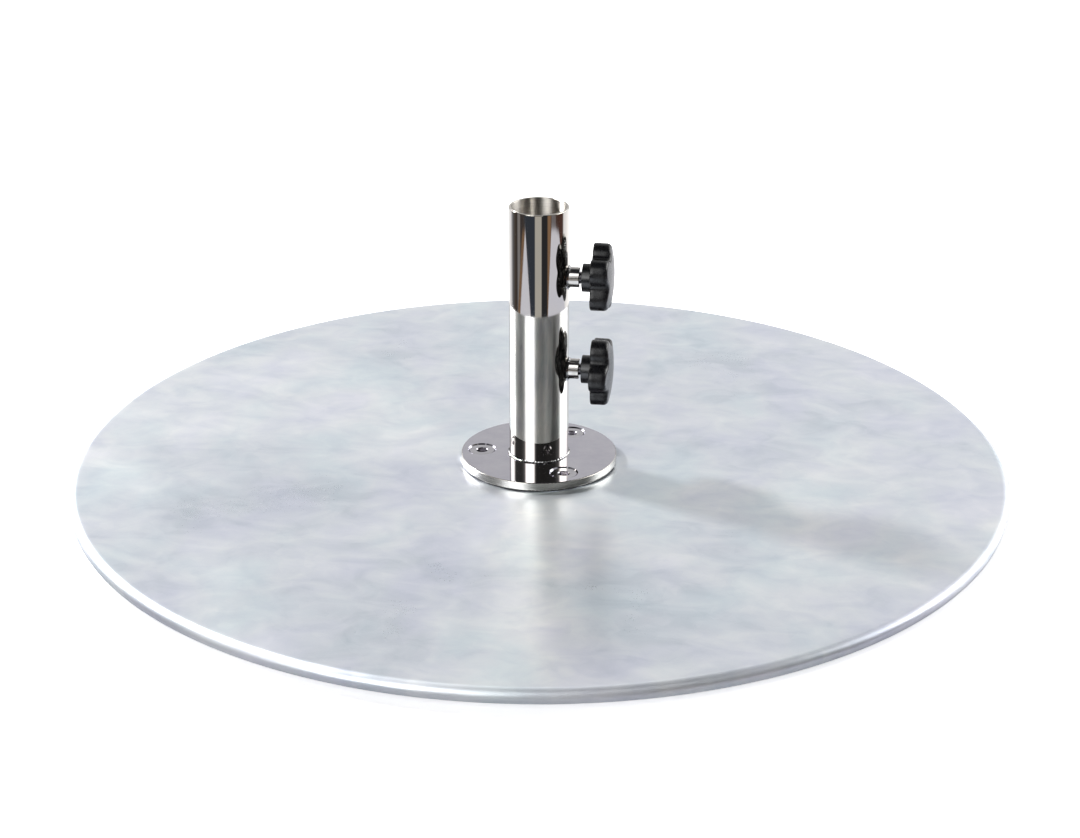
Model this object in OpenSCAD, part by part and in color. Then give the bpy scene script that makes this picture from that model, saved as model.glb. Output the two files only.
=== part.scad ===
// Parasol base: a round galvanised steel plate with a flanged stainless socket
// tube and two star-knob clamp screws. Millimetres, +Z up.
// Origin: centre of the plate, on the floor under the feet.
// +X runs through both clamp screws, out towards the knobs.

/* [Plate] */
// Diameter of the base plate
plate_d = 900; // [600:10:1200]
// Thickness of the base plate, which is also the diameter of its round edge
plate_t = 15; // [12:0.5:25]
// Diameter of the drain hole under the socket
drain_d = 12; // [6:1:20]

/* [Feet] */
// Number of rubber feet
foot_count = 6; // [3:1:8]
// Diameter of a rubber foot
foot_d = 40; // [30:1:60]
// How far the feet lift the plate off the floor
foot_proud = 4; // [3:0.5:10]
// Depth of the recess that locates each foot
foot_recess = 2; // [1:0.5:3]
// Distance from the plate's edge to the centre of a foot
foot_inset = 70; // [50:5:120]
// Rounding of a foot's lower edge
foot_edge = 1.5; // [0.5:0.25:2.5]

/* [Foot screws] */
// Diameter of a foot screw
foot_screw_d = 5; // [4:1:6]
// Overall length of a foot screw
foot_screw_len = 12; // [10:1:14]
// Head diameter of a foot screw
foot_head_d = 9.2; // [8:0.1:11]
// Key size across the flats of a foot screw
foot_key_af = 3; // [2.5:0.5:4]
// Depth of the key socket in a foot screw
foot_key_depth = 2; // [1.5:0.1:3]
// Chamfer at the mouth of a foot screw's key socket
foot_key_chamfer = 0.2; // [0.1:0.05:0.4]
// How far a foot screw's head sits above the floor
foot_head_sunk = 1.2; // [1:0.1:2]

/* [Flange] */
// Diameter of the flange
flange_d = 150; // [125:1:220]
// Thickness of the flange
flange_t = 8; // [8:0.5:15]
// Easing of the flange's outer edges
flange_edge = 0.8; // [0.3:0.1:2]
// Thickness of the gasket under the flange
gasket_t = 1; // [0.5:0.5:3]
// How far the gasket's rim sits inside the flange's
gasket_inset = 1; // [0.5:0.5:4]
// Leg of the fillet weld round the foot of the tube
flange_weld_leg = 2; // [1.5:0.5:5]

/* [Flange screws] */
// Number of screws through the flange
screw_count = 3; // [3:1:6]
// Distance from the flange's rim to the axis of a flange screw
screw_inset = 19.5; // [16:0.5:25]
// Angle of the first flange screw from +X
screw_first = 63; // [0:1:90]
// Thread diameter of a flange screw
screw_d = 12; // [8:1:14]
// Overall length of a flange screw
screw_len = 20; // [18:1:24]
// Head diameter of a flange screw
screw_head_d = 24; // [16:0.5:26]
// Height of the straight rim round a flange screw's head
screw_land = 0.8; // [0.4:0.1:1.2]
// How far a flange screw's head sits below the flange's face
screw_sunk = 0.9; // [0.3:0.1:1.2]
// Key size across the flats of a flange screw
screw_key_af = 10; // [5:0.5:12]
// Depth of the key socket in a flange screw
screw_key_depth = 4.5; // [3:0.5:5]
// Chamfer at the mouth of the key socket
screw_key_chamfer = 0.8; // [0.3:0.1:1]

/* [Socket tube] */
// Outer diameter of the socket tube
tube_d = 57; // [45:0.5:70]
// Wall of the socket tube
tube_wall = 2.6; // [2:0.1:4]
// Length of the socket tube
tube_len = 257; // [245:1:400]
// Rounding of the tube's rim
tube_edge = 0.6; // [0.2:0.1:0.9]

/* [Clamp bosses] */
// Height of the lower boss above the tube's lower end
lower_boss_h = 96; // [70:1:115]
// Distance between the two bosses
boss_spacing = 92.5; // [80:0.5:115]
// Diameter of a boss
boss_d = 19.5; // [16:0.5:22]
// How far a boss stands out of the tube
boss_len = 10.5; // [8:0.5:20]
// Chamfer on a boss's outer end
boss_chamfer = 0.6; // [0.2:0.1:1.5]
// Leg of the fillet weld round a boss
boss_weld_leg = 2.5; // [1.5:0.5:4]

/* [Clamp screws] */
// Thread diameter of the stud
stud_d = 12; // [10:1:13]
// Thread pitch of the stud
stud_pitch = 1.75; // [1:0.25:2.5]
// How deep the stud is moulded into the knob
stud_embed = 14; // [8:0.5:17]
// Thickness of the thrust tip's disc
tip_t = 3; // [2:0.5:5]
// Diameter of the thrust tip's disc
tip_d = 9.5; // [7:0.5:10]
// Diameter of the thrust tip's neck
tip_neck_d = 5; // [3:0.5:6]
// Length of the thrust tip's neck
tip_neck_len = 5; // [3:0.5:8]
// How far the thrust tip sits back from the socket's wall
tip_setback = 0.3; // [0.1:0.1:1]

/* [Knobs] */
// Diameter over the knob's lobes
knob_d = 67; // [55:0.5:78]
// Number of lobes
lobe_count = 5; // [4:1:8]
// Radius of a lobe's tip
lobe_r = 12.5; // [9:0.5:14]
// Radius of the hollow between two lobes
valley_r = 6; // [4:0.5:9]
// Diameter of the knob's hub
hub_d = 27; // [24:0.5:32]
// Length of the knob's hub
hub_len = 9.5; // [6:0.5:14]
// Thickness of the star, to the top of its dome
star_t = 20; // [18:0.5:28]
// Rise of the dome over the star's edge
dome_rise = 4; // [2:0.5:6]
// Rounding of the star's front edge
star_front_edge = 5; // [2:0.5:6]
// Rounding of the star's back edge
star_back_edge = 1.5; // [0.5:0.5:3]
// Gap between a boss's end and the knob's hub
hub_gap = 2.4; // [2.4:0.1:6]
// Turn of the upper knob's first lobe
upper_turn = 33; // [0:0.5:90]
// Turn of the lower knob's first lobe
lower_turn = 71; // [0:0.5:90]

/* [Clearances] */
// Radial clearance of a screw or stud in its thread
thread_gap = 0.05; // [0.02:0.01:0.1]
// Radial clearance of a plain screw hole
hole_gap = 0.75; // [0.3:0.05:1.5]
// Radial clearance of the tube in the flange, and of a foot in its recess
seat_gap = 0.1; // [0.05:0.05:0.5]
// Gap between the thrust tip and the stud's end
tip_gap = 0.3; // [0.2:0.05:0.6]
// Radial clearance of the thrust tip's neck in the stud
neck_gap = 0.05; // [0.02:0.01:0.1]
// Gap between a weld and the pieces it joins
weld_gap = 0.03; // [0.01:0.01:0.1]

/* [Hidden] */
$fn = 96;
// extra length that carries a cut past the face it opens
cut = 1;
// thread depth as a share of the pitch
thread_depth_ratio = 0.6134;
// chamfer at a screw's tip as a share of its radius
screw_tip_ratio = 0.2;
// half of a countersunk head's 90 degree cone: radius grows as fast as depth
sink_slope = 1;

plate_r = plate_d / 2;
plate_z = foot_proud;
plate_top = plate_z + plate_t;
flange_z = plate_top + gasket_t;
flange_top = flange_z + flange_t;

tube_r = tube_d / 2;
bore_r = tube_r - tube_wall;
tube_z = flange_z;
tube_seat_lap = tube_wall / 2;

foot_r = foot_d / 2;
foot_t = foot_proud + foot_recess;
foot_ring_r = plate_r - foot_inset;
foot_screw_r = foot_screw_d / 2;
foot_head_r = foot_head_d / 2;
foot_hole_top = foot_head_sunk + foot_screw_len + hole_gap;

screw_r = screw_d / 2;
screw_head_r = screw_head_d / 2;
screw_head_top = flange_top - screw_sunk;
screw_cone_top = screw_head_top - screw_land;
screw_cone_len = (screw_head_r - screw_r) / sink_slope;
// what a long head's cone adds to the gasket's holes where it comes through the flange
screw_cone_below = max(0, screw_sunk + screw_land + screw_cone_len - flange_t);
// the countersink is the head's own cone, carried on up to the flange's face
sink_mouth_r = screw_head_r + (screw_sunk + screw_land) * sink_slope;

boss_r = boss_d / 2;
boss_end_x = tube_r + boss_len;
stud_r = stud_d / 2;
hub_x = boss_end_x + hub_gap;
tip_x = bore_r + tip_setback;
stud_x = tip_x + tip_t + tip_gap;
knob_r = knob_d / 2;
tip_neck_r = tip_neck_d / 2;

lobe_step = 360 / lobe_count;
lobe_at = knob_r - lobe_r;
// distance of a hollow's centre at which it runs smoothly into both its lobes
valley_at = lobe_at * cos(lobe_step / 2)
    + sqrt(pow(lobe_r + valley_r, 2) - pow(lobe_at * sin(lobe_step / 2), 2));
dome_r = (pow(knob_r, 2) + pow(dome_rise, 2)) / (2 * dome_rise);
star_corner_r = knob_r - star_front_edge;
star_corner_z = star_t - dome_r + sqrt(pow(dome_r, 2) - pow(star_corner_r, 2)) - star_front_edge;

// clamp screw: [name, height of its axis, turn of its first lobe]
clamps = [
    ["upper", tube_z + lower_boss_h + boss_spacing, upper_turn],
    ["lower", tube_z + lower_boss_h, lower_turn]
];
clamp_parts = ["boss", "boss_weld", "knob", "stud", "thrust_tip"];

// ---- placing and shared shapes ----

// Children at flange screw i, with its axis on Z
module at_screw(i) {
    rotate([0, 0, screw_first + (i - 1) * 360 / screw_count])
        translate([flange_d / 2 - screw_inset, 0, 0]) children();
}

// Children at foot i, with its axis on Z
module at_foot(i) {
    rotate([0, 0, (i - 1) * 360 / foot_count])
        translate([foot_ring_r, 0, 0]) children();
}

// Children on a clamp screw's axis, with their Z turned to run along +X
module on_clamp(z, turn = 0) {
    translate([0, 0, z]) rotate([0, 90, 0]) rotate([0, 0, -turn - 90]) children();
}

// Half section of a ring with all four corners rounded
module ring_section(r_in, r_out, h, edge) {
    translate([r_in + edge, 0]) square([r_out - r_in - 2 * edge, h]);
    translate([r_in, edge]) square([r_out - r_in, h - 2 * edge]);
    for (r = [r_in + edge, r_out - edge]) for (z = [edge, h - edge])
        translate([r, z]) circle(edge);
}

// Hollow fillet of a weld on a face: leg out along the face and leg up the wall,
// carried down by drop where the face falls away
module weld_section(r, leg, drop = 0) {
    difference() {
        translate([r, -drop]) square([leg, leg + drop]);
        translate([r + leg, leg]) circle(leg);
    }
}

// Countersunk screw pointing down from Z = 0, its head's face on Z = 0
module sunk_screw(r, head_r, land, len, key_af, key_depth, chamfer) {
    cone = (head_r - r) / sink_slope;
    key_r = key_af / 2 / cos(30);
    tip = r * screw_tip_ratio;
    difference() {
        rotate_extrude() polygon([
            [0, 0], [head_r, 0], [head_r, -land], [r, -land - cone],
            [r, tip - len], [r - tip, -len], [0, -len]
        ]);
        translate([0, 0, -key_depth]) cylinder(r = key_r, h = key_depth + cut, $fn = 6);
        translate([0, 0, -chamfer])
            cylinder(r1 = key_af / 2, r2 = key_af / 2 + 2 * chamfer, h = 2 * chamfer);
    }
}

// ---- plate and feet ----

module base_plate() color("#c9ced4") difference() {
    rotate_extrude($fn = 240) {
        translate([0, plate_z]) square([plate_r - plate_t / 2, plate_t]);
        intersection() {
            translate([plate_r - plate_t / 2, plate_z + plate_t / 2]) circle(plate_t / 2);
            translate([plate_r - plate_t / 2, plate_z]) square([plate_t / 2, plate_t]);
        }
    }
    translate([0, 0, plate_z - cut]) cylinder(d = drain_d, h = plate_t + 2 * cut);
    for (i = [1:screw_count]) at_screw(i)
        translate([0, 0, plate_z - cut]) cylinder(r = screw_r + thread_gap, h = plate_t + 2 * cut);
    for (i = [1:foot_count]) at_foot(i) {
        translate([0, 0, plate_z - cut]) cylinder(r = foot_r + seat_gap, h = foot_recess + cut);
        cylinder(r = foot_screw_r + thread_gap, h = foot_hole_top);
    }
}

module foot(i) color("#1b1b1c") at_foot(i) difference() {
    rotate_extrude() {
        square([foot_r - foot_edge, foot_edge]);
        translate([0, foot_edge]) square([foot_r, foot_t - foot_edge]);
        translate([foot_r - foot_edge, foot_edge]) circle(foot_edge);
    }
    cylinder(r = foot_screw_r + seat_gap, h = foot_t + cut);
    // seat of the head, then its way in from below
    translate([0, 0, foot_head_sunk])
        cylinder(r1 = foot_head_r, r2 = foot_screw_r, h = (foot_head_r - foot_screw_r) / sink_slope);
    translate([0, 0, -cut]) cylinder(r = foot_head_r, h = foot_head_sunk + cut);
}

module foot_screw(i) color("#a9abae") at_foot(i)
    translate([0, 0, foot_head_sunk]) mirror([0, 0, 1])
        sunk_screw(foot_screw_r, foot_head_r, 0, foot_screw_len,
            foot_key_af, foot_key_depth, foot_key_chamfer);

// ---- flange and socket ----

module flange_gasket() color("#141415") difference() {
    translate([0, 0, plate_top]) cylinder(r = flange_d / 2 - gasket_inset, h = gasket_t);
    translate([0, 0, plate_top - cut]) cylinder(r = bore_r + tube_seat_lap, h = gasket_t + 2 * cut);
    for (i = [1:screw_count]) at_screw(i)
        translate([0, 0, plate_top - cut])
            cylinder(r = screw_r + screw_cone_below * sink_slope + hole_gap, h = gasket_t + 2 * cut);
}

module flange() color("#b9bcc0") difference() {
    translate([0, 0, flange_z]) rotate_extrude($fn = 192)
        ring_section(tube_r + seat_gap, flange_d / 2, flange_t, flange_edge);
    for (i = [1:screw_count]) at_screw(i) {
        translate([0, 0, flange_z - cut]) cylinder(r = screw_r + hole_gap, h = flange_t + 2 * cut);
        translate([0, 0, screw_cone_top - screw_cone_len])
            cylinder(r1 = screw_r, r2 = sink_mouth_r + cut * sink_slope,
                h = (sink_mouth_r - screw_r) / sink_slope + cut);
    }
}

module flange_screw(i) color("#c4c5c7") at_screw(i) translate([0, 0, screw_head_top])
    sunk_screw(screw_r, screw_head_r, screw_land, screw_len,
        screw_key_af, screw_key_depth, screw_key_chamfer);

module flange_weld() color("#d3d4d6") translate([0, 0, flange_top + weld_gap])
    rotate_extrude() weld_section(tube_r + weld_gap, flange_weld_leg);

module socket_tube() color("#b4b7bb") difference() {
    translate([0, 0, tube_z]) rotate_extrude() ring_section(bore_r, tube_r, tube_len, tube_edge);
    for (c = clamps) on_clamp(c[1]) cylinder(r = stud_r + thread_gap, h = tube_d);
}

// ---- clamp bosses and their welds ----

module boss(z) color("#bfc1c4") difference() {
    on_clamp(z) rotate_extrude() polygon([
        [stud_r + thread_gap, 0], [boss_r, 0], [boss_r, boss_end_x - boss_chamfer],
        [boss_r - boss_chamfer, boss_end_x], [stud_r + thread_gap, boss_end_x]
    ]);
    translate([0, 0, tube_z]) cylinder(r = tube_r, h = tube_len);
}

// The fillet starts where the boss leaves the tube's side, so it laps the saddle
module boss_weld(z) color("#d3d4d6") difference() {
    saddle_x = sqrt(pow(tube_r, 2) - pow(boss_r + boss_weld_leg, 2));
    on_clamp(z) translate([0, 0, tube_r]) rotate_extrude()
        weld_section(boss_r + weld_gap, boss_weld_leg, tube_r - saddle_x);
    translate([0, 0, tube_z]) cylinder(r = tube_r + weld_gap, h = tube_len);
}

// ---- clamp screws ----

// Outline of the star: lobes joined to hollows by arcs that share a tangent
module star_outline() {
    difference() {
        polygon([for (i = [0:2 * lobe_count - 1])
            let (a = i * lobe_step / 2, r = i % 2 == 0 ? lobe_at : valley_at) [r * cos(a), r * sin(a)]]);
        for (i = [0:lobe_count - 1]) rotate((i + 0.5) * lobe_step)
            translate([valley_at, 0]) circle(valley_r);
    }
    for (i = [0:lobe_count - 1]) rotate(i * lobe_step) translate([lobe_at, 0]) circle(lobe_r);
}

// Half section that rounds the lobes' edges and gives the star its domed face
module star_section() intersection() {
    union() {
        square([star_corner_r, star_t]);
        translate([0, star_back_edge]) square([knob_r, star_corner_z - star_back_edge]);
        square([knob_r - star_back_edge, star_back_edge]);
        translate([knob_r - star_back_edge, star_back_edge]) circle(star_back_edge);
        translate([star_corner_r, star_corner_z]) circle(star_front_edge);
    }
    translate([0, star_t - dome_r]) circle(dome_r, $fn = 240);
}

module knob(z, turn) color("#1d1d1f") difference() {
    on_clamp(z, turn) {
        translate([0, 0, hub_x]) cylinder(d = hub_d, h = hub_len);
        translate([0, 0, hub_x + hub_len]) intersection() {
            linear_extrude(star_t) star_outline();
            rotate_extrude() star_section();
        }
    }
    on_clamp(z) translate([0, 0, hub_x - cut]) cylinder(r = stud_r, h = stud_embed + cut);
}

// Rings cut at the thread's pitch stand for the helix; the part in the knob is plain
module stud(z) color("#b6b8ba") difference() {
    root_r = stud_r - thread_depth_ratio * stud_pitch;
    turns = floor((hub_x - stud_x) / stud_pitch);
    on_clamp(z) rotate_extrude() polygon(concat(
        [[0, stud_x]],
        [for (i = [0:turns - 1]) each [
            [root_r, stud_x + i * stud_pitch], [stud_r, stud_x + (i + 0.5) * stud_pitch]]],
        [[root_r, stud_x + turns * stud_pitch], [root_r, hub_x],
         [stud_r, hub_x], [stud_r, hub_x + stud_embed], [0, hub_x + stud_embed]]
    ));
    on_clamp(z) translate([0, 0, stud_x - cut])
        cylinder(r = tip_neck_r + neck_gap, h = tip_neck_len + cut);
}

module thrust_tip(z) color("#2a2a2c") on_clamp(z) translate([0, 0, tip_x]) {
    cylinder(d = tip_d, h = tip_t);
    cylinder(r = tip_neck_r, h = tip_t + tip_neck_len);
}

// ---- the assembly ----

base_plate();
flange_gasket();
flange();
flange_weld();
socket_tube();
for (i = [1:screw_count])
    flange_screw(i);
for (c = clamps) {
    boss(c[1]);
    boss_weld(c[1]);
    knob(c[1], c[2]);
    stud(c[1]);
    thrust_tip(c[1]);
}
for (i = [1:foot_count]) {
    foot(i);
    foot_screw(i);
}
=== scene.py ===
import math
import bmesh
import bpy
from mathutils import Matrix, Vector, geometry, noise


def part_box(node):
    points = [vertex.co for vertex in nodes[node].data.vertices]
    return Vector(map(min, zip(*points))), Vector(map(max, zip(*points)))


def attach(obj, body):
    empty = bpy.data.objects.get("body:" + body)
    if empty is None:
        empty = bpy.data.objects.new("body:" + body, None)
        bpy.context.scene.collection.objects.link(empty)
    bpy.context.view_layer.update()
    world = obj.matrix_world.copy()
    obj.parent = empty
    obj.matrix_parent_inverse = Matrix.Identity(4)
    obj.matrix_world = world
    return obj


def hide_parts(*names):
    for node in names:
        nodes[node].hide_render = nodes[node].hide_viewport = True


# Parasol base: galvanised plate, polished socket tube, two star-knob clamp screws.
# Metres, Z up, the tube on the Z axis, the clamp screws along +X.

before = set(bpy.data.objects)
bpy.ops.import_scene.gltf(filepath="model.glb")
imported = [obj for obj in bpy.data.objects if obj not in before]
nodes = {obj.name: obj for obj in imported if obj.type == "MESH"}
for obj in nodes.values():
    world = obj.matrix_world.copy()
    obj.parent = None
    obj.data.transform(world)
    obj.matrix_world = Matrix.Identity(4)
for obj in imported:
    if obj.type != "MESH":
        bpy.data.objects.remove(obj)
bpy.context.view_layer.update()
scene = bpy.context.scene
print("frame loaded:", len(nodes), "nodes")

mm = 0.001


def hexColor(code):
    # sRGB hex to the linear colour that shaders want
    channels = [int(code[i:i + 2], 16) / 255 for i in (1, 3, 5)]
    linear = [c / 12.92 if c <= 0.04045 else ((c + 0.055) / 1.055) ** 2.4 for c in channels]
    return (*linear, 1.0)


def perMetre(sizeMm):
    # texture scale at which one pattern cell measures sizeMm
    return 1 / (sizeMm * mm)


def addNode(tree, kind, inputs=None, **settings):
    # adds a node, sets its properties, then sets or links its inputs
    node = tree.nodes.new(kind)
    for key, value in settings.items():
        setattr(node, key, value)
    for key, value in (inputs or {}).items():
        if isinstance(value, bpy.types.NodeSocket):
            tree.links.new(value, node.inputs[key])
        else:
            node.inputs[key].default_value = value
    return node


def newMaterial(name, color, metallic, roughness):
    material = bpy.data.materials.new(name)
    material.use_nodes = True
    material.diffuse_color = hexColor(color)
    tree = material.node_tree
    shader = tree.nodes["Principled BSDF"]
    shader.inputs["Base Color"].default_value = hexColor(color)
    shader.inputs["Metallic"].default_value = metallic
    shader.inputs["Roughness"].default_value = roughness
    return material, tree, shader


def objectCoords(tree):
    return addNode(tree, "ShaderNodeTexCoord").outputs["Object"]


def stretched(tree, coords, x, y, z):
    # the same coordinates with each axis scaled, for drawn-out patterns
    return addNode(tree, "ShaderNodeMapping", {"Vector": coords, "Scale": (x, y, z)}).outputs[0]


def noiseValue(tree, coords, sizeMm, detail=2.0, roughness=0.5, distortion=0.0):
    return addNode(tree, "ShaderNodeTexNoise", {
        "Vector": coords, "Scale": perMetre(sizeMm), "Detail": detail,
        "Roughness": roughness, "Distortion": distortion}).outputs["Fac"]


def remap(tree, value, low, high, toLow, toHigh):
    return addNode(tree, "ShaderNodeMapRange", {
        "Value": value, "From Min": low, "From Max": high,
        "To Min": toLow, "To Max": toHigh}).outputs[0]


def combine(tree, operation, first, second):
    return addNode(tree, "ShaderNodeMath", {0: first, 1: second}, operation=operation).outputs[0]


def brushLines(tree, coords, axisScale, sizeMm):
    # fine lines that run round the axis: the pattern changes only along the scaled axis
    return noiseValue(tree, stretched(tree, coords, *axisScale), sizeMm, 3.0, 0.7)


def radiusFromAxis(tree, coords):
    # distance from the piece's upright axis
    axes = addNode(tree, "ShaderNodeSeparateXYZ", {"Vector": coords})
    square = combine(tree, "ADD", combine(tree, "POWER", axes.outputs[0], 2.0),
                     combine(tree, "POWER", axes.outputs[1], 2.0))
    return combine(tree, "SQRT", square, 0.0)


def colorRamp(tree, value, stops):
    # stops: list of (position, hex colour, linear colour or grey value)
    node = addNode(tree, "ShaderNodeValToRGB", {"Fac": value})
    elements = node.color_ramp.elements
    elements.remove(elements[-1])
    for index, (position, tone) in enumerate(stops):
        element = elements[0] if index == 0 else elements.new(position)
        element.position = position
        if isinstance(tone, str):
            element.color = hexColor(tone)
        elif isinstance(tone, tuple):
            element.color = (*tone, 1)
        else:
            element.color = (tone, tone, tone, 1)
    return node.outputs["Color"]


def mixColor(tree, factor, first, second, blend="MIX"):
    # colour sockets of the mix node are numbers 6 and 7, its result number 2
    node = addNode(tree, "ShaderNodeMix", {0: factor, 6: first, 7: second},
                   data_type="RGBA", blend_type=blend)
    return node.outputs[2]


def addBump(tree, shader, height, strength, depthMm, normal=None):
    inputs = {"Height": height, "Strength": strength, "Distance": depthMm * mm}
    if normal is not None:
        inputs["Normal"] = normal
    bump = addNode(tree, "ShaderNodeBump", inputs)
    tree.links.new(bump.outputs[0], shader.inputs["Normal"])
    return bump.outputs[0]


def meshPiece(name, points, faces, material, sharpDegrees=40, weld=False):
    mesh = bpy.data.meshes.new(name)
    mesh.from_pydata([tuple(p) for p in points], [], faces)
    shell = bmesh.new()
    shell.from_mesh(mesh)
    if weld:
        bmesh.ops.remove_doubles(shell, verts=shell.verts, dist=0.004 * mm)
    bmesh.ops.recalc_face_normals(shell, faces=shell.faces)
    shell.to_mesh(mesh)
    shell.free()
    mesh.validate()
    mesh.polygons.foreach_set("use_smooth", [True] * len(mesh.polygons))
    mesh.set_sharp_from_angle(angle=math.radians(sharpDegrees))
    mesh.materials.append(material)
    piece = bpy.data.objects.new(name, mesh)
    scene.collection.objects.link(piece)
    return piece


def ringFaces(ringCount, segments, closed=False):
    # quads between rings of points, the last ring joined to the first when closed
    faces = []
    for ring in range(ringCount if closed else ringCount - 1):
        after = (ring + 1) % ringCount
        for s in range(segments):
            t = (s + 1) % segments
            faces.append((ring * segments + s, ring * segments + t,
                          after * segments + t, after * segments + s))
    return faces


def circlePoints(cx, cy, radius, z, segments):
    turns = [2 * math.pi * s / segments for s in range(segments)]
    return [(cx + radius * math.cos(a), cy + radius * math.sin(a), z) for a in turns]


# sizes taken from the frame
plateLow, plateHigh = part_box("base_plate")
flangeLow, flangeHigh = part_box("flange")
tubeLow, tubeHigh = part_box("socket_tube")
weldLow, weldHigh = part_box("flange_weld")
tubeRadius = (tubeHigh.y - tubeLow.y) / 2
plateRadius = max(plateHigh.x - plateLow.x, plateHigh.y - plateLow.y) / 2
flangeRadius = (flangeHigh.y - flangeLow.y) / 2
print("plate radius", round(plateRadius, 4), "tube radius", round(tubeRadius, 4))


cameraView = {
    "turn": 8.0,          # degrees round to the knobs' side
    "lift": 22.30,        # degrees above the floor
    "distance": 2.2866,   # metres to the point looked at
    "aimAbovePlate": 0.100,
    "lens": 79.65,
    "shiftX": 0.0009,
    "shiftY": -0.0377,
}


def makeCamera(view):
    camera = bpy.data.objects.new("camera", bpy.data.cameras.new("camera"))
    scene.collection.objects.link(camera)
    turn = math.radians(view["turn"])
    lift = math.radians(view["lift"])
    aim = Vector((0, 0, plateLow.z + view["aimAbovePlate"]))
    away = Vector((math.sin(turn) * math.cos(lift), -math.cos(turn) * math.cos(lift), math.sin(lift)))
    camera.location = aim + away * view["distance"]
    camera.rotation_euler = (-away).to_track_quat("-Z", "Y").to_euler()
    camera.data.sensor_width = 36
    camera.data.lens = view["lens"]
    camera.data.shift_x = view["shiftX"]
    camera.data.shift_y = view["shiftY"]
    camera.data.clip_start = 0.05
    scene.camera = camera


makeCamera(cameraView)
print("camera ready")


studio = {
    "floorColor": "#f7f7f7",
    "floorGlow": 0.55,      # share of the floor's white that shadows cannot take away
    "floorRadius": 12.0,
    "keyPlace": (-3.95, 1.80, 3.00),
    "keySize": 0.50,
    "keyPower": 640.0,
    # brightness round the room: 0 and 1 lie at -Y, a quarter at -X, a half at +Y
    "roomAbove": [
        (0.000, 0.08), (0.018, 0.12), (0.046, 6.40), (0.108, 6.40), (0.138, 0.30), (0.165, 0.12),
        (0.189, 0.08), (0.262, 0.10), (0.283, 0.80), (0.310, 5.60), (0.345, 5.60), (0.380, 1.00),
        (0.420, 0.68), (0.478, 0.80), (0.520, 0.98), (0.580, 1.40), (0.630, 6.20), (0.705, 6.20),
        (0.745, 0.25), (0.797, 0.06), (0.930, 0.04), (0.980, 0.05)],
    # higher than about 35 degrees
    "roomHigh": [
        (0.000, 0.05), (0.012, 0.05), (0.020, 3.00), (0.124, 3.00), (0.134, 0.10), (0.300, 0.30),
        (0.478, 0.45), (0.730, 0.50), (0.780, 0.30), (0.800, 0.05), (0.884, 0.05), (0.888, 2.20),
        (0.915, 2.20), (0.919, 0.05)],
    # brightness from the floor's level up to where the upper room takes over
    "heightFall": [
        (0.00, 0.06), (0.10, 0.14), (0.20, 0.60), (0.27, 1.10), (0.33, 1.05), (0.42, 0.88), (0.55, 0.70)],
    # heights of a direction, from -1 straight down to 1 straight up, between which the room changes
    "upperRoom": (0.50, 0.62),
    "ceiling": (0.78, 0.90),
    "ceilingColor": (0.03, 0.03, 0.035, 1),
    "greyFoot": (-0.40, -0.50),
    "greyColor": (0.34, 0.34, 0.36, 1),
    "wedgeLength": (-0.320, -0.358),
    # below the floor's level, as upright polished steel mirrors it, with a little colour
    "roomBelow": [
        (0.000, (0.62, 0.60, 0.57)), (0.017, (0.62, 0.60, 0.57)), (0.024, (0.05, 0.06, 0.085)),
        (0.137, (0.05, 0.06, 0.08)), (0.145, (0.07, 0.06, 0.06)), (0.186, (0.07, 0.06, 0.06)),
        (0.192, (0.30, 0.28, 0.29)), (0.222, (0.30, 0.29, 0.31)), (0.230, (0.06, 0.05, 0.05)),
        (0.262, (0.09, 0.07, 0.06)), (0.303, (0.18, 0.18, 0.20)), (0.326, (0.60, 0.60, 0.66)),
        (0.350, (1.15, 1.15, 1.22)), (0.433, (1.35, 1.35, 1.40)), (0.600, (1.50, 1.50, 1.55)),
        (0.680, (1.20, 1.20, 1.28)), (0.698, (0.12, 0.07, 0.06)), (0.752, (0.10, 0.05, 0.04)),
        (0.842, (0.08, 0.06, 0.05)), (0.860, (0.35, 0.21, 0.13)), (0.882, (0.33, 0.20, 0.12)),
        (0.893, (0.035, 0.035, 0.04)), (0.948, (0.035, 0.035, 0.04)), (0.955, (0.62, 0.60, 0.57))],
    # pale panels there that widen towards the floor, one with a brown edge
    "brownWedges": [(0.050, 0.0), (0.127, 1.0), (0.162, 0.97), (0.244, 0.0)],
    "wedges": [
        (0.050, 0.0), (0.127, 1.0), (0.210, 0.0), (0.610, 0.0), (0.752, 0.96), (0.800, 1.0),
        (0.846, 1.0), (0.893, 0.0)],
    "brownColor": (0.27, 0.17, 0.11, 1.0),
    "wedgeColor": (0.91, 0.93, 1.08, 1.0),
}


def makeFloor():
    # matte white sweep: a pale ground that keeps only a soft contact shadow
    material, tree, shader = newMaterial("matteWhiteSweep", studio["floorColor"], 0.0, 0.9)
    coords = objectCoords(tree)
    tone = colorRamp(tree, noiseValue(tree, coords, 330), [(0.3, "#f5f5f5"), (0.7, "#f9f9f9")])
    tree.links.new(tone, shader.inputs["Base Color"])
    tree.links.new(tone, shader.inputs["Emission Color"])
    shader.inputs["Emission Strength"].default_value = studio["floorGlow"]
    shader.inputs["Specular IOR Level"].default_value = 0.2
    ring = circlePoints(0, 0, studio["floorRadius"], 0, 64)
    floor = meshPiece("studioFloor", ring, [tuple(range(64))], material)
    floor.visible_glossy = False


def makeLight(name, place, aim, size, power):
    data = bpy.data.lights.new(name, "AREA")
    data.size = size
    data.energy = power
    light = bpy.data.objects.new(name, data)
    scene.collection.objects.link(light)
    light.location = place
    light.rotation_euler = (Vector(aim) - Vector(place)).to_track_quat("-Z", "Y").to_euler()


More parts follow.
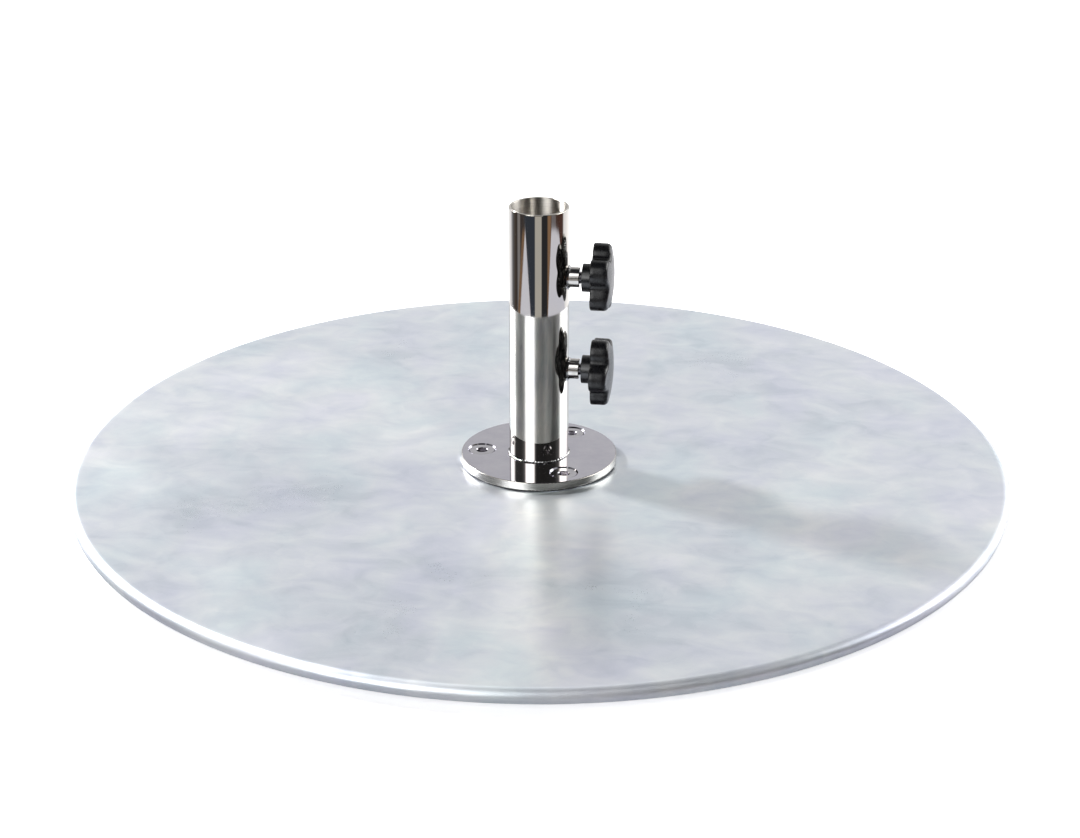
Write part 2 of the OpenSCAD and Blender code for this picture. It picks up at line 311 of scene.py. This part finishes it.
def makeWorld():
    world = bpy.data.worlds.new("studioRoom")
    scene.world = world
    world.use_nodes = True
    tree = world.node_tree
    tree.nodes.clear()
    direction = addNode(tree, "ShaderNodeTexCoord").outputs["Generated"]
    axes = addNode(tree, "ShaderNodeSeparateXYZ", {"Vector": direction})
    height = axes.outputs["Z"]
    turn = combine(tree, "ARCTAN2", axes.outputs["X"], axes.outputs["Y"])
    share = remap(tree, turn, -math.pi, math.pi, 0, 1)
    above = colorRamp(tree, share, studio["roomAbove"])
    high = colorRamp(tree, share, studio["roomHigh"])
    below = colorRamp(tree, share, studio["roomBelow"])
    # panels below the floor's level start at a point and widen on the way down
    narrow = remap(tree, height, *studio["wedgeLength"], 1.02, 0.15)
    for ramp, color in (("brownWedges", "brownColor"), ("wedges", "wedgeColor")):
        wedge = combine(tree, "SUBTRACT", colorRamp(tree, share, studio[ramp]), narrow)
        below = mixColor(tree, remap(tree, wedge, -0.03, 0.03, 0, 1), below, studio[color])
    # nearer the foot of the room everything is an even grey
    below = mixColor(tree, remap(tree, height, *studio["greyFoot"], 0, 1), below, studio["greyColor"])
    # panels stop short of the floor, and the room darkens towards its ceiling
    fall = colorRamp(tree, height, studio["heightFall"])
    above = mixColor(tree, 1.0, above, fall, "MULTIPLY")
    above = mixColor(tree, remap(tree, height, *studio["upperRoom"], 0, 1), above, high)
    above = mixColor(tree, remap(tree, height, *studio["ceiling"], 0, 1), above, studio["ceilingColor"])
    room = mixColor(tree, remap(tree, height, -0.02, 0.02, 0, 1), below, above)
    shade = addNode(tree, "ShaderNodeBackground", {"Color": room, "Strength": 1.0})
    plain = addNode(tree, "ShaderNodeBackground", {"Color": (1, 1, 1, 1), "Strength": 1.0})
    seen = addNode(tree, "ShaderNodeLightPath").outputs["Is Camera Ray"]
    mixed = addNode(tree, "ShaderNodeMixShader", {0: seen, 1: shade.outputs[0], 2: plain.outputs[0]})
    addNode(tree, "ShaderNodeOutputWorld", {"Surface": mixed.outputs[0]})


makeFloor()
makeWorld()
makeLight("keySoftbox", studio["keyPlace"], (0, 0, 0.05), studio["keySize"], studio["keyPower"])
scene.view_settings.view_transform = "Standard"
print("studio ready")


def makeGalvanised():
    # hot-dip galvanised steel: pale blue-grey with soft clouds, faint spangle and fine grain
    material, tree, shader = newMaterial("hotDipGalvanisedSteel", "#e4e8ee", 0.88, 0.30)
    coords = objectCoords(tree)
    flat = stretched(tree, coords, 1.0, 1.5, 1.0)
    cloud = noiseValue(tree, coords, 170, 4.0, 0.58, 0.6)
    patch = noiseValue(tree, flat, 48, 3.0, 0.5, 0.8)
    grain = noiseValue(tree, coords, 2.2, 3.0, 0.7)
    radius = radiusFromAxis(tree, coords)
    edge = remap(tree, radius, plateRadius - 9 * mm, plateRadius - 6 * mm, 0.0, 1.0)
    spangle = addNode(tree, "ShaderNodeTexVoronoi", {
        "Vector": coords, "Scale": perMetre(14), "Randomness": 1.0}, feature="F1").outputs["Color"]
    spangle = addNode(tree, "ShaderNodeSeparateColor", {0: spangle}).outputs[0]
    tone = combine(tree, "MULTIPLY", cloud, 0.50)
    for pattern, weight in ((patch, 0.40), (spangle, 0.035), (grain, 0.06)):
        tone = combine(tree, "ADD", tone, combine(tree, "MULTIPLY", pattern, weight))
    color = colorRamp(tree, tone, [
        (0.34, "#cdd4dd"), (0.45, "#dce1e9"), (0.55, "#e6eaef"), (0.68, "#f3f5f7")])
    # a whisper of violet and green where the zinc has begun to dull
    tint = noiseValue(tree, stretched(tree, coords, 1.3, 1.0, 1.0), 110, 3.0, 0.5)
    tintColor = colorRamp(tree, tint, [(0.35, "#f4f2fb"), (0.5, "#fbfbfb"), (0.68, "#eef8f8")])
    color = mixColor(tree, 0.55, color, tintColor, "MULTIPLY")
    tree.links.new(color, shader.inputs["Base Color"])
    rough = combine(tree, "ADD", remap(tree, cloud, 0.3, 0.7, 0.27, 0.35),
                    remap(tree, grain, 0.3, 0.7, -0.01, 0.02))
    # the dipped edge is duller and rougher than the rolled face
    rough = combine(tree, "ADD", rough, combine(tree, "MULTIPLY", edge, 0.14))
    tree.links.new(rough, shader.inputs["Roughness"])
    wave = noiseValue(tree, coords, 26, 2.0, 0.5)
    first = addBump(tree, shader, wave, 0.30, 0.20)
    addBump(tree, shader, combine(tree, "MULTIPLY", grain, edge), 0.50, 0.08, first)
    return material


def makePolishedTube():
    # mirror-polished stainless outside; the bore keeps its satin drawn finish
    material, tree, shader = newMaterial("polishedStainlessTube", "#c5c2ba", 1.0, 0.04)
    coords = objectCoords(tree)
    radius = radiusFromAxis(tree, coords)
    bore = remap(tree, radius, tubeRadius - 1.9 * mm, tubeRadius - 1.3 * mm, 1.0, 0.0)
    haze = noiseValue(tree, coords, 34, 4.0, 0.6)
    lines = brushLines(tree, coords, (0.01, 0.01, 1.0), 0.45)
    outside = remap(tree, haze, 0.35, 0.75, 0.010, 0.026)
    inside = remap(tree, lines, 0.3, 0.7, 0.36, 0.48)
    rough = addNode(tree, "ShaderNodeMix", {0: bore, 2: outside, 3: inside}).outputs[0]
    tree.links.new(rough, shader.inputs["Roughness"])
    warm = colorRamp(tree, haze, [(0.3, "#c8c3b9"), (0.7, "#c3c0ba")])
    satin = colorRamp(tree, lines, [(0.3, "#bdb8b1"), (0.7, "#dbd7d1")])
    tree.links.new(mixColor(tree, bore, warm, satin), shader.inputs["Base Color"])
    # the lines left by drawing run round the bore and spread its shine up and down
    shader.inputs["Anisotropic"].default_value = 1.0
    shader.inputs["Anisotropic Rotation"].default_value = 0.25
    shape = combine(tree, "MULTIPLY", lines, bore)
    first = addBump(tree, shader, shape, 0.4, 0.05)
    addBump(tree, shader, noiseValue(tree, coords, 16, 1.0, 0.4), 0.06, 0.03, first)
    return material


def makePolishedFlange():
    # polished stainless disc with a lavender cast from the room, and a satin turned rim
    material, tree, shader = newMaterial("polishedStainlessDisc", "#bfbdc6", 1.0, 0.05)
    coords = objectCoords(tree)
    radius = radiusFromAxis(tree, coords)
    rim = remap(tree, radius, flangeRadius - 0.9 * mm, flangeRadius - 0.3 * mm, 0.0, 1.0)
    haze = noiseValue(tree, coords, 22, 4.0, 0.6)
    lines = brushLines(tree, coords, (0.03, 0.03, 1.0), 0.7)
    face = remap(tree, haze, 0.35, 0.75, 0.020, 0.050)
    turned = remap(tree, lines, 0.3, 0.7, 0.20, 0.32)
    rough = addNode(tree, "ShaderNodeMix", {0: rim, 2: face, 3: turned}).outputs[0]
    tree.links.new(rough, shader.inputs["Roughness"])
    cool = colorRamp(tree, haze, [(0.3, "#bab8c2"), (0.7, "#c5c3ca")])
    satin = colorRamp(tree, lines, [(0.3, "#a5a29c"), (0.7, "#b9b6b0")])
    tree.links.new(mixColor(tree, rim, cool, satin), shader.inputs["Base Color"])
    first = addBump(tree, shader, combine(tree, "MULTIPLY", lines, rim), 0.4, 0.04)
    addBump(tree, shader, noiseValue(tree, coords, 20, 1.0, 0.4), 0.08, 0.03, first)
    return material


def makePolishedBoss():
    # turned and polished stainless: bright, with faint lines round the boss
    material, tree, shader = newMaterial("polishedStainlessBoss", "#cac7c4", 1.0, 0.08)
    coords = objectCoords(tree)
    lines = brushLines(tree, coords, (1.0, 0.05, 0.05), 0.8)
    tree.links.new(remap(tree, lines, 0.3, 0.7, 0.05, 0.15), shader.inputs["Roughness"])
    tone = colorRamp(tree, noiseValue(tree, coords, 6, 3.0), [(0.3, "#c4c0bc"), (0.7, "#d0cdcb")])
    tree.links.new(tone, shader.inputs["Base Color"])
    addBump(tree, shader, lines, 0.15, 0.03)
    return material


def makeWeld():
    # ground and polished weld: a bright bead, duller in patches, with a trace of blue heat tint
    material, tree, shader = newMaterial("polishedWeldBead", "#bdbab6", 1.0, 0.07)
    coords = objectCoords(tree)
    patch = noiseValue(tree, coords, 7, 3.0, 0.6)
    tone = colorRamp(tree, patch, [(0.3, "#979493"), (0.5, "#b7b6b6"), (0.7, "#aaacb3")])
    tree.links.new(tone, shader.inputs["Base Color"])
    tree.links.new(remap(tree, patch, 0.3, 0.7, 0.04, 0.11), shader.inputs["Roughness"])
    addBump(tree, shader, noiseValue(tree, coords, 2.2, 2.0, 0.5), 0.4, 0.15)
    return material


def makeScrewSteel():
    # plain stainless screws: softer shine than the polished parts, with fine turning marks
    material, tree, shader = newMaterial("stainlessScrew", "#bcbabf", 1.0, 0.10)
    coords = objectCoords(tree)
    fine = noiseValue(tree, coords, 0.8, 3.0, 0.6)
    patch = noiseValue(tree, coords, 5, 3.0, 0.6)
    tree.links.new(colorRamp(tree, patch, [(0.3, "#b3b1b6"), (0.7, "#c3c1c6")]), shader.inputs["Base Color"])
    tree.links.new(remap(tree, fine, 0.3, 0.7, 0.06, 0.13), shader.inputs["Roughness"])
    addBump(tree, shader, fine, 0.12, 0.02)
    return material


def makeNylon():
    # glass-filled nylon: deep black with a fine moulded grain and a soft satin shine
    material, tree, shader = newMaterial("glassFilledNylonBlack", "#101012", 0.0, 0.32)
    coords = objectCoords(tree)
    grain = noiseValue(tree, coords, 0.55, 2.0, 0.6)
    patch = noiseValue(tree, coords, 9, 4.0, 0.6)
    tree.links.new(colorRamp(tree, patch, [(0.3, "#0c0c0e"), (0.7, "#141417")]), shader.inputs["Base Color"])
    rough = combine(tree, "ADD", remap(tree, patch, 0.3, 0.7, 0.22, 0.31),
                    remap(tree, grain, 0.3, 0.7, -0.03, 0.05))
    tree.links.new(rough, shader.inputs["Roughness"])
    shader.inputs["Specular IOR Level"].default_value = 0.42
    first = addBump(tree, shader, grain, 0.28, 0.04)
    addBump(tree, shader, noiseValue(tree, coords, 7, 1.0, 0.4), 0.12, 0.06, first)
    return material


def makeSoft(name, dark, light, roughLow, roughHigh, grainMm, strength):
    # matt black polymer with a fine grain: rubber and acetal differ in tone, grain and shine
    material, tree, shader = newMaterial(name, light, 0.0, roughHigh)
    coords = objectCoords(tree)
    grain = noiseValue(tree, coords, grainMm, 3.0, 0.6)
    patch = noiseValue(tree, coords, 12, 4.0, 0.6)
    tree.links.new(colorRamp(tree, patch, [(0.3, dark), (0.7, light)]), shader.inputs["Base Color"])
    tree.links.new(remap(tree, patch, 0.3, 0.7, roughLow, roughHigh), shader.inputs["Roughness"])
    addBump(tree, shader, grain, strength, 0.05)
    return material


galvanisedSteel = makeGalvanised()
polishedTube = makePolishedTube()
polishedFlange = makePolishedFlange()
polishedBoss = makePolishedBoss()
weldSteel = makeWeld()
screwSteel = makeScrewSteel()
blackNylon = makeNylon()
blackRubber = makeSoft("epdmRubberMatt", "#151515", "#222223", 0.70, 0.86, 0.7, 0.5)
acetalTip = makeSoft("acetalSatin", "#202022", "#2b2b2d", 0.38, 0.48, 0.4, 0.2)

for name, node in nodes.items():
    if name == "base_plate":
        material = galvanisedSteel
    elif name == "socket_tube":
        material = polishedTube
    elif name == "flange":
        material = polishedFlange
    elif name.endswith("_boss"):
        material = polishedBoss
    elif name.endswith("_weld"):
        material = weldSteel
    elif "screw" in name or name.endswith("stud"):
        material = screwSteel
    elif name.endswith("knob"):
        material = blackNylon
    elif name.endswith("tip"):
        material = acetalTip
    else:
        material = blackRubber
    for place in node.material_slots:
        place.material = material
print("materials ready")


plateShape = {
    "segments": 720,
    "bandStep": 5.0,        # mm between rings on the top face
    "innerRadius": 82.0,    # mm, inside which the face is flat under the flange
    "edgeSteps": 14,
    "waveDepth": 0.16,      # mm that the zinc's surface rolls below flat
    "broadWave": 9.0,       # waves in a metre, and their share of the depth
    "broadShare": 0.42,
    "fineWave": 38.0,
    "fineShare": 0.14,
    "easeInside": 30.0,     # mm over which the rolling starts at the flange
    "easeOutside": 20.0,    # mm over which it dies away at the edge
    "runDepth": 0.22,       # mm of zinc runs round the edge
    "holeSegments": 48,
    "drainRadius": 6.0,
    "screwCount": 3,
    "screwRing": flangeRadius / mm - 19.5,
    "screwFirst": 63.0,     # degrees to the first flange screw
    "screwHole": 6.05,
    "footCount": 6,
    "footRing": plateRadius / mm - 70.0,
    "footRecess": 20.1,
    "recessSegments": 72,
    "recessDepth": 2.0,
    "footHole": 2.55,
    "footHoleTop": 13.95,   # mm above the floor
}


def zincWave(x, y, shape):
    # 0 to 1: how far the zinc's surface lies below its highest point
    broad = noise.noise(Vector((x * shape["broadWave"], y * shape["broadWave"], 3.1)))
    fine = noise.noise(Vector((x * shape["fineWave"], y * shape["fineWave"], 8.7)))
    return min(1.0, max(0.0, 0.5 + shape["broadShare"] * broad + shape["fineShare"] * fine))


def faceWithHoles(outer, holes, z):
    # triangles between an outer ring and round holes, all on one level
    flatPoints = [Vector((p[0], p[1])) for p in outer]
    edges = [(i, (i + 1) % len(outer)) for i in range(len(outer))]
    for cx, cy, radius, segments in holes:
        start = len(flatPoints)
        flatPoints += [Vector(p[:2]) for p in circlePoints(cx, cy, radius, 0, segments)]
        edges += [(start + i, start + (i + 1) % segments) for i in range(segments)]
    result = geometry.delaunay_2d_cdt(flatPoints, edges, [], 2, 1e-7)
    return [(p.x, p.y, z) for p in result[0]], [tuple(f) for f in result[2]]


def buildPlate(shape, material):
    points, faces = [], []
    count = shape["segments"]
    top, bottom = plateHigh.z, plateLow.z
    middle, half = (top + bottom) / 2, (top - bottom) / 2

    def add(newPoints, newFaces):
        start = len(points)
        points.extend(newPoints)
        faces.extend(tuple(start + i for i in face) for face in newFaces)

    # top face out from under the flange, rolling gently, then the round edge with its zinc runs
    flatEnd = plateRadius - half
    inner = shape["innerRadius"] * mm
    steps = int((flatEnd - inner) / (shape["bandStep"] * mm))
    rings = []
    for i in range(steps + 1):
        radius = inner + (flatEnd - inner) * i / steps
        ease = min(1.0, (radius - inner) / (shape["easeInside"] * mm),
                   (flatEnd - radius) / (shape["easeOutside"] * mm))
        ring = []
        for x, y, z in circlePoints(0, 0, radius, top, count):
            ring.append((x, y, z - ease * shape["waveDepth"] * mm * zincWave(x, y, shape)))
        rings.append(ring)
    for i in range(1, shape["edgeSteps"] * 2):
        angle = math.pi / 2 - math.pi * i / (shape["edgeSteps"] * 2)
        around = math.sin(math.pi * i / (shape["edgeSteps"] * 2))
        ring = []
        for s in range(count):
            a = 2 * math.pi * s / count
            run = 0.5 + 0.5 * noise.noise(Vector((math.cos(a) * 11, math.sin(a) * 11, angle * 1.3)))
            run += 0.25 * noise.noise(Vector((math.cos(a) * 45, math.sin(a) * 45, angle * 2.2)))
            reach = half - around * shape["runDepth"] * mm * min(1.0, max(0.0, run))
            radius = flatEnd + reach * math.cos(angle)
            ring.append((radius * math.cos(a), radius * math.sin(a), middle + reach * math.sin(angle)))
        rings.append(ring)
    rings.append(circlePoints(0, 0, flatEnd, bottom, count))
    add([p for ring in rings for p in ring], ringFaces(len(rings), count))

    drain = (0, 0, shape["drainRadius"] * mm, shape["holeSegments"])
    screws, recesses = [], []
    for i in range(shape["screwCount"]):
        a = math.radians(shape["screwFirst"] + 360 / shape["screwCount"] * i)
        ring = shape["screwRing"] * mm
        screws.append((ring * math.cos(a), ring * math.sin(a), shape["screwHole"] * mm,
                       shape["holeSegments"]))
    for i in range(shape["footCount"]):
        a = math.radians(360 / shape["footCount"] * i)
        ring = shape["footRing"] * mm
        recesses.append((ring * math.cos(a), ring * math.sin(a), shape["footRecess"] * mm,
                         shape["recessSegments"]))
    add(*faceWithHoles(circlePoints(0, 0, inner, 0, count), [drain] + screws, top))
    add(*faceWithHoles(circlePoints(0, 0, flatEnd, 0, count), [drain] + screws + recesses, bottom))
    for cx, cy, radius, segments in [drain] + screws:
        add(circlePoints(cx, cy, radius, top, segments) + circlePoints(cx, cy, radius, bottom, segments),
            ringFaces(2, segments))
    ceiling = bottom + shape["recessDepth"] * mm
    for cx, cy, radius, segments in recesses:
        hole = shape["footHole"] * mm
        add(circlePoints(cx, cy, radius, bottom, segments) + circlePoints(cx, cy, radius, ceiling, segments)
            + circlePoints(cx, cy, hole, ceiling, segments)
            + circlePoints(cx, cy, hole, shape["footHoleTop"] * mm, segments), ringFaces(4, segments))
        add(circlePoints(cx, cy, hole, shape["footHoleTop"] * mm, segments), [tuple(range(segments))])
    piece = meshPiece("galvanisedPlate", points, faces, material, 35, weld=True)
    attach(piece, "base")
    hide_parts("base_plate")


buildPlate(plateShape, galvanisedSteel)
print("plate ready")


weldShape = {
    "ripple": 3.1,          # mm between the ripples of a bead
    "rippleDepth": 0.34,    # mm
    "rippleSteps": 6,
    "arcSteps": 8,
    "hollow": 0.29,         # how far a boss's bead is hollowed, as a share of its leg
    "hollowEase": 0.72,     # softens that hollow and its ripples
    "bossLeg": 2.5,         # mm, leg of the bead round a boss
    "sink": 0.02,           # mm that a bead keeps clear of the steel behind it
}


def beadRings(corner, outward, upward, leg, phase, shape):
    # one cross-section of a hollow fillet: its two legs and the arc between their ends
    swell = 0.5 + 0.5 * math.cos(phase)
    section = [corner, corner + upward * leg]
    for i in range(1, shape["arcSteps"]):
        a = math.radians(180 + 90 * i / shape["arcSteps"])
        lift = shape["rippleDepth"] * mm * swell * math.sin(math.pi * i / shape["arcSteps"])
        reach = leg - lift
        section.append(corner + outward * (leg + reach * math.cos(a)) + upward * (leg + reach * math.sin(a)))
    section.append(corner + outward * leg)
    return section


def buildBead(name, sections, material, replaced):
    # sections run round the joint and meet themselves
    size = len(sections[0])
    points = [p for section in sections for p in section]
    piece = meshPiece(name, points, ringFaces(len(sections), size, closed=True), material, 50)
    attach(piece, "base")
    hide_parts(replaced)


def flangeBead(shape, material):
    leg = weldHigh.z - weldLow.z
    radius = tubeRadius + shape["sink"] * mm
    count = round(2 * math.pi * radius / (shape["ripple"] * mm)) * shape["rippleSteps"]
    sections = []
    for s in range(count):
        a = 2 * math.pi * s / count
        outward = Vector((math.cos(a), math.sin(a), 0))
        corner = outward * radius + Vector((0, 0, weldLow.z))
        phase = 2 * math.pi * s / shape["rippleSteps"] + 2.6 * noise.noise(outward * 6)
        wander = 0.86 + 0.14 * noise.noise(outward * 5)
        sections.append(beadRings(corner, outward, Vector((0, 0, 1)), leg * wander, phase, shape))
    buildBead("flangeWeldBead", sections, material, "flange_weld")


def bossBead(side, shape, material):
    low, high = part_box(side + "_boss")
    radius = (high.z - low.z) / 2 + shape["sink"] * mm
    centre = (high.z + low.z) / 2
    leg = shape["bossLeg"] * mm
    count = round(2 * math.pi * radius / (shape["ripple"] * mm)) * shape["rippleSteps"]

    def saddle(distance, a):
        # the tube's surface at this distance from the boss's axis
        return math.sqrt((tubeRadius + shape["sink"] * mm) ** 2 - (distance * math.cos(a)) ** 2)

    sections = []
    for s in range(count):
        a = 2 * math.pi * s / count
        around = Vector((0, math.cos(a), math.sin(a)))
        phase = 2 * math.pi * s / shape["rippleSteps"] + 1.2 * noise.noise(around * 3)
        swell = 0.5 + 0.5 * math.cos(phase)
        size = leg * (0.94 + 0.06 * noise.noise(around * 2.5))
        base = Vector((0, 0, centre))
        inner = base + around * radius + Vector((saddle(radius, a), 0, 0))
        tip = base + around * radius + Vector((saddle(radius, a) + size, 0, 0))
        foot = base + around * (radius + size) + Vector((saddle(radius + size, a), 0, 0))
        section = [inner, tip]
        for i in range(1, shape["arcSteps"]):
            t = i / shape["arcSteps"]
            along = tip.lerp(foot, t)
            hollow = math.sin(math.pi * t) * (shape["hollow"] * size - shape["rippleDepth"] * mm * swell)
            section.append(along + (inner - along).normalized() * hollow * shape["hollowEase"])
        section.append(foot)
        sections.append(section)
    buildBead(side + "BossWeldBead", sections, material, side + "_boss_weld")


flangeBead(weldShape, weldSteel)
bossBead("upper", weldShape, weldSteel)
bossBead("lower", weldShape, weldSteel)
print("welds ready")


starKnob = {
    "diameter": 67.0,       # mm over the lobes
    "lobes": 5,
    "lobeRadius": 12.5,
    "valleyRadius": 6.0,
    "lobeSteps": 30,
    "valleySteps": 10,
    "hubDiameter": 27.0,
    "hubLength": 9.5,
    "hubEdge": 0.4,
    "hubFillet": 1.0,
    "filletSteps": 4,
    "thickness": 20.0,
    "domeRise": 4.0,
    "domeSteps": 16,
    "frontEdge": 4.6,
    "frontSteps": 8,
    "wallSteps": 4,
    "backEdge": 1.5,
    "backSteps": 5,
    "backBorder": 2.2,      # mm of flat back outside the hollow
    "draft": 0.16,          # mm the side wall leans in towards the front
    "backHollow": 1.0,      # mm, shallow moulded hollow round the hub
    "holeRadius": 6.0,
    "holeDepth": 14.0,
    "holeEdge": 0.5,
    "upperTurn": 33.0,      # degrees to the first lobe
    "lowerTurn": 71.0,
}

stud = {
    "radius": 6.0,          # mm
    "pitch": 1.75,
    "depth": 1.05,          # mm, height of the thread
    "threadEnd": 13.0,      # mm of plain shank at the knob's end
    "runOut": 1.5,          # mm over which the thread dies into the shank
    "edge": 0.3,
    "aroundSteps": 56,
    "pitchSteps": 10,
    "neckRadius": 2.55,
    "neckDepth": 6.0,
}


def starOutline(shape, inset):
    # points round the star at this inset, lobes and hollows sharing their tangents
    lobeRadius, valleyRadius = shape["lobeRadius"], shape["valleyRadius"]
    step = 2 * math.pi / shape["lobes"]
    lobeAt = shape["diameter"] / 2 - lobeRadius
    valleyAt = lobeAt * math.cos(step / 2) + math.sqrt(
        (lobeRadius + valleyRadius) ** 2 - (lobeAt * math.sin(step / 2)) ** 2)
    toValley = math.atan2(valleyAt * math.sin(step / 2), valleyAt * math.cos(step / 2) - lobeAt)
    points = []
    for lobe in range(shape["lobes"]):
        turn = lobe * step
        cx, cy = lobeAt * math.cos(turn), lobeAt * math.sin(turn)
        for i in range(shape["lobeSteps"]):
            a = turn - toValley + 2 * toValley * i / shape["lobeSteps"]
            reach = lobeRadius - inset
            points.append((cx + reach * math.cos(a), cy + reach * math.sin(a)))
        vx, vy = valleyAt * math.cos(turn + step / 2), valleyAt * math.sin(turn + step / 2)
        start = turn + toValley + math.pi
        sweep = 2 * (toValley - step / 2)
        for i in range(shape["valleySteps"]):
            a = start - sweep * i / shape["valleySteps"]
            reach = valleyRadius + inset
            points.append((vx + reach * math.cos(a), vy + reach * math.sin(a)))
    return points


def buildKnob(side, shape, material):
    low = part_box(side + "_knob")[0]
    studLow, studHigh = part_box(side + "_stud")
    centre = (studLow.z + studHigh.z) / 2
    outer = starOutline(shape, 0)
    turns = [math.atan2(p[1], p[0]) for p in outer]
    domeRadius = ((shape["diameter"] / 2) ** 2 + shape["domeRise"] ** 2) / (2 * shape["domeRise"])
    total = shape["hubLength"] + shape["thickness"]

    def circle(radius, x):
        return [(x, radius * math.cos(a), radius * math.sin(a)) for a in turns]

    def dome(radius):
        return total - domeRadius + math.sqrt(domeRadius ** 2 - radius ** 2)

    hole, depth, holeEdge = shape["holeRadius"], shape["holeDepth"], shape["holeEdge"]
    hub, hubLength = shape["hubDiameter"] / 2, shape["hubLength"]
    hubEdge, fillet = shape["hubEdge"], shape["hubFillet"]
    # from the middle of the stud's hole, out of it, over the hub's end and along the hub
    rings = [circle(0.4, depth), circle(hole, depth), circle(hole, holeEdge), circle(hole + holeEdge, 0)]
    rings += [circle(hub - hubEdge, 0), circle(hub - 0.3 * hubEdge, 0.25 * hubEdge), circle(hub, hubEdge)]
    rings.append(circle(hub, hubLength - fillet))
    for i in range(1, shape["filletSteps"] + 1):
        a = math.radians(90 * i / shape["filletSteps"])
        rings.append(circle(hub + fillet * (1 - math.cos(a)), hubLength - fillet * (1 - math.sin(a))))
    # shallow hollow in the back of the star, then out to its rounded back edge
    back = starOutline(shape, shape["backEdge"] + shape["backBorder"])
    for share, sink in ((0.25, 0.7), (0.5, 1.0), (0.8, 0.7), (1.0, 0.12)):
        ring = []
        for (y, z), a in zip(back, turns):
            start = (hub + fillet) * math.cos(a), (hub + fillet) * math.sin(a)
            ring.append((hubLength + sink * shape["backHollow"],
                         start[0] + (y - start[0]) * share, start[1] + (z - start[1]) * share))
        rings.append(ring)
    edge = shape["backEdge"]
    for i in range(shape["backSteps"] + 1):
        a = math.radians(90 * i / shape["backSteps"])
        rings.append([(hubLength + edge * (1 - math.cos(a)), y, z)
                      for y, z in starOutline(shape, edge * (1 - math.sin(a)))])
    # side wall with a little draft, then the front edge rolled over on to the dome
    front = shape["frontEdge"]
    crown = starOutline(shape, front)
    for i in range(1, shape["wallSteps"] + 1):
        t = i / shape["wallSteps"]
        ring = []
        for (y, z), (cy, cz) in zip(starOutline(shape, shape["draft"] * t), crown):
            wallTop = dome(math.hypot(cy, cz)) - front
            ring.append((hubLength + edge + (wallTop - hubLength - edge) * t, y, z))
        rings.append(ring)
    for i in range(1, shape["frontSteps"] + 1):
        a = math.radians(90 * i / shape["frontSteps"])
        ring = []
        inset = shape["draft"] + (front - shape["draft"]) * (1 - math.cos(a))
        for (y, z), (cy, cz) in zip(starOutline(shape, inset), crown):
            top = dome(math.hypot(cy, cz))
            x = top - front * (1 - math.sin(a))
            ring.append((min(x, dome(math.hypot(y, z))), y, z))
        rings.append(ring)
    for i in range(1, shape["domeSteps"]):
        k = 1 - i / shape["domeSteps"]
        rings.append([(dome(math.hypot(y * k, z * k)), y * k, z * k) for y, z in crown])
    turn = math.radians(shape[side + "Turn"])
    points = []
    for ring in rings:
        for x, y, z in ring:
            # a lobe at turn 0 points to -Y, and turns up towards +Z
            py = -(y * math.cos(turn) - z * math.sin(turn))
            pz = y * math.sin(turn) + z * math.cos(turn)
            points.append((low.x + x * mm, py * mm, centre + pz * mm))
    count = len(turns)
    faces = ringFaces(len(rings), count)
    faces.append(tuple(range(count)))
    faces.append(tuple((len(rings) - 1) * count + i for i in range(count)))
    piece = meshPiece(side + "StarKnob", points, faces, material, 32)
    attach(piece, side + "_clamp")
    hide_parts(side + "_knob")


def buildStud(side, shape, material):
    low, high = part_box(side + "_stud")
    centre = (low.z + high.z) / 2
    length = (high.x - low.x) / mm
    crest, root = shape["radius"], shape["radius"] - shape["depth"]
    neck, edge = shape["neckRadius"], shape["edge"]
    count = shape["aroundSteps"]
    threadLength = length - shape["threadEnd"]
    steps = int(threadLength / shape["pitch"] * shape["pitchSteps"])

    def threadRadius(x, a):
        # a V thread with a narrow flat at crest and root
        share = (x / shape["pitch"] - a / (2 * math.pi)) % 1
        rise = min(1.0, max(0.0, (abs(share - 0.5) * 2 - 0.1) / 0.78))
        radius = root + (crest - root) * rise
        runOut = min(1.0, max(0.0, (threadLength - x) / shape["runOut"]))
        radius = crest - (crest - radius) * runOut
        return min(radius, root - edge + x)

    # the hollow neck that holds the thrust tip, then the thread, then the plain shank
    rings = [[(shape["neckDepth"], neck)] * count, [(edge, neck)] * count, [(0, neck + edge)] * count]
    for i in range(steps + 1):
        x = threadLength * i / steps
        rings.append([(x, threadRadius(x, 2 * math.pi * s / count)) for s in range(count)])
    rings += [[(length - edge, crest)] * count, [(length, crest - edge)] * count]
    points = []
    for ring in rings:
        for s, (x, radius) in enumerate(ring):
            a = 2 * math.pi * s / count
            points.append((low.x + x * mm, radius * mm * math.cos(a), centre + radius * mm * math.sin(a)))
    faces = ringFaces(len(rings), count)
    faces.append(tuple(range(count)))
    faces.append(tuple((len(rings) - 1) * count + i for i in range(count)))
    piece = meshPiece(side + "ThreadedStud", points, faces, material, 38)
    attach(piece, side + "_clamp")
    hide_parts(side + "_stud")


for side in ("upper", "lower"):
    buildKnob(side, starKnob, blackNylon)
    buildStud(side, stud, screwSteel)
print("clamp screws ready")
